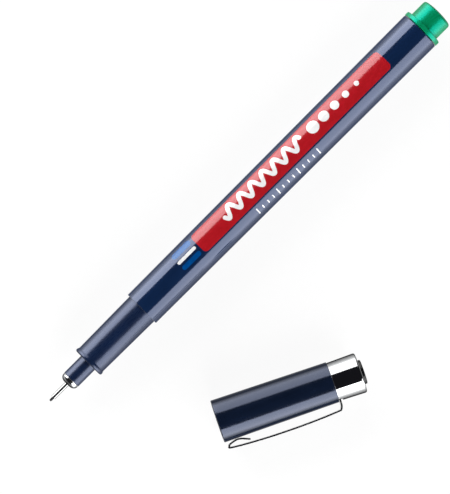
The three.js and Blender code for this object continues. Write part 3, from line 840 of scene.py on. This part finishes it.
def make_floor():
    """A plain pale floor. Part of its white is its own, so that the object's shadow stays light."""
    mesh = bpy.data.meshes.new("floor")
    half = FLOOR_SIZE / 2
    corners = [(-half, -half, 0), (half, -half, 0), (half, half, 0), (-half, half, 0)]
    mesh.from_pydata(corners, [], [(0, 1, 2, 3)])
    floor = bpy.data.objects.new("floor", mesh)
    bpy.context.scene.collection.objects.link(floor)
    paper = Finish("floor_sheet", IOR=1.5)
    grain = paper.noise((0.4, 0.4, 0.4), own=False)
    paper.colour(grain, "Fac", [(0.3, (0.095, 0.095, 0.095)), (0.7, (0.105, 0.105, 0.105))])
    rays = paper.add("ShaderNodeLightPath")
    seen = paper.add("ShaderNodeMath", operation="MAXIMUM")
    paper.join(rays, "Is Camera Ray", seen, 0)
    paper.join(rays, "Is Glossy Ray", seen, 1)
    seen_through = paper.add("ShaderNodeMath", operation="MAXIMUM")
    paper.join(seen, "Value", seen_through, 0)
    paper.join(rays, "Is Transmission Ray", seen_through, 1)
    own_white = paper.add("ShaderNodeMath", operation="MULTIPLY")
    paper.join(seen_through, "Value", own_white, 0)
    own_white.inputs[1].default_value = FLOOR_OWN_WHITE
    paper.join(own_white, "Value", paper.shader, "Emission Strength")
    paper.shader.inputs["Emission Color"].default_value = (1, 1, 1, 1)
    sheen = paper.add("ShaderNodeMapRange")
    sheen.inputs["To Min"].default_value, sheen.inputs["To Max"].default_value = FLOOR_SHEEN, FLOOR_MATT
    paper.join(rays, "Is Camera Ray", sheen, "Value")
    paper.join(sheen, "Result", paper.shader, "Roughness")
    mesh.materials.append(paper.material)


def softbox(name, azimuth_deg, width_deg, top_deg, radiance):
    """Upright lamp that stands on the floor and faces the object, as wide and tall as seen from there."""
    azimuth, half = math.radians(azimuth_deg), math.radians(width_deg / 2)
    lamp = bpy.data.lights.new(name, "AREA")
    lamp.shape = "RECTANGLE"
    lamp.size = 2 * LAMP_DISTANCE * math.tan(half)
    lamp.size_y = LAMP_DISTANCE * math.tan(math.radians(top_deg))
    lamp.energy = math.pi * radiance * lamp.size * lamp.size_y
    away = Vector((math.cos(azimuth), math.sin(azimuth), 0))
    holder = bpy.data.objects.new(name, lamp)
    holder.location = LAMP_DISTANCE * away + Vector((0, 0, lamp.size_y / 2))
    holder.rotation_euler = away.to_track_quat("Z", "Y").to_euler()
    bpy.context.scene.collection.objects.link(holder)


def make_light():
    """A softbox on each side of the pen and of the cap, and a world that is dim and darker above."""
    for lamp in LAMPS:
        softbox(*lamp)
    world = bpy.data.worlds.new("studio")
    world.use_nodes = True
    nodes, links = world.node_tree.nodes, world.node_tree.links
    place = nodes.new("ShaderNodeTexCoord")
    split = nodes.new("ShaderNodeSeparateXYZ")
    ramp = nodes.new("ShaderNodeValToRGB")
    links.new(place.outputs["Generated"], split.inputs["Vector"])
    links.new(split.outputs["Z"], ramp.inputs["Fac"])
    for element, (place_up, colour) in zip(ramp.color_ramp.elements, WORLD_RISE):
        element.position = place_up
        element.color = colour
    links.new(ramp.outputs["Color"], nodes["Background"].inputs["Color"])
    bpy.context.scene.world = world


def make_camera():
    """Camera above the pen, at the photograph's angle, turned so that the pen climbs to the right."""
    turn = math.radians(PEN_TILT_DEG)
    right = np.array([math.cos(turn), -math.sin(turn)])
    up = np.array([math.sin(turn), math.cos(turn)])
    tip = PEN.origin

    def on_level(px):
        """Point at the axis's height that lies under a pixel of the photograph."""
        across, rise = px[0] - TIP_PX[0], TIP_PX[1] - px[1]
        level = tip[:2] + MM * MM_PER_PX * (across * right + rise * up)
        return Vector((*level, tip[2]))

    aim = on_level((VIEW_WIDTH_PX / 2, VIEW_HEIGHT_PX / 2))
    place = on_level(NADIR_PX) + Vector((0, 0, CAMERA_DISTANCE))
    back = (place - aim).normalized()
    level_up = Vector((*up, 0))
    side = level_up.cross(back).normalized()
    camera = bpy.data.cameras.new("camera")
    camera.lens = camera.sensor_width * (place - aim).length / (MM * MM_PER_PX * VIEW_HEIGHT_PX)
    camera.clip_end = 10
    holder = bpy.data.objects.new("camera", camera)
    turned_axes = Matrix((side, back.cross(side), back)).transposed()
    holder.matrix_world = Matrix.Translation(place) @ turned_axes.to_4x4()
    bpy.context.scene.collection.objects.link(holder)
    bpy.context.scene.camera = holder


make_nib()
make_needle()
make_collar()
make_nose()
make_grip()
make_barrel()
make_end_plug()
make_cap_body()
make_inner_cap()
make_sleeve()
make_cap_plug()
make_clip()
make_print()
dress_inner_nodes()
part_reflections()
make_floor()
make_light()
make_camera()
bpy.context.scene.view_settings.view_transform = "Standard"
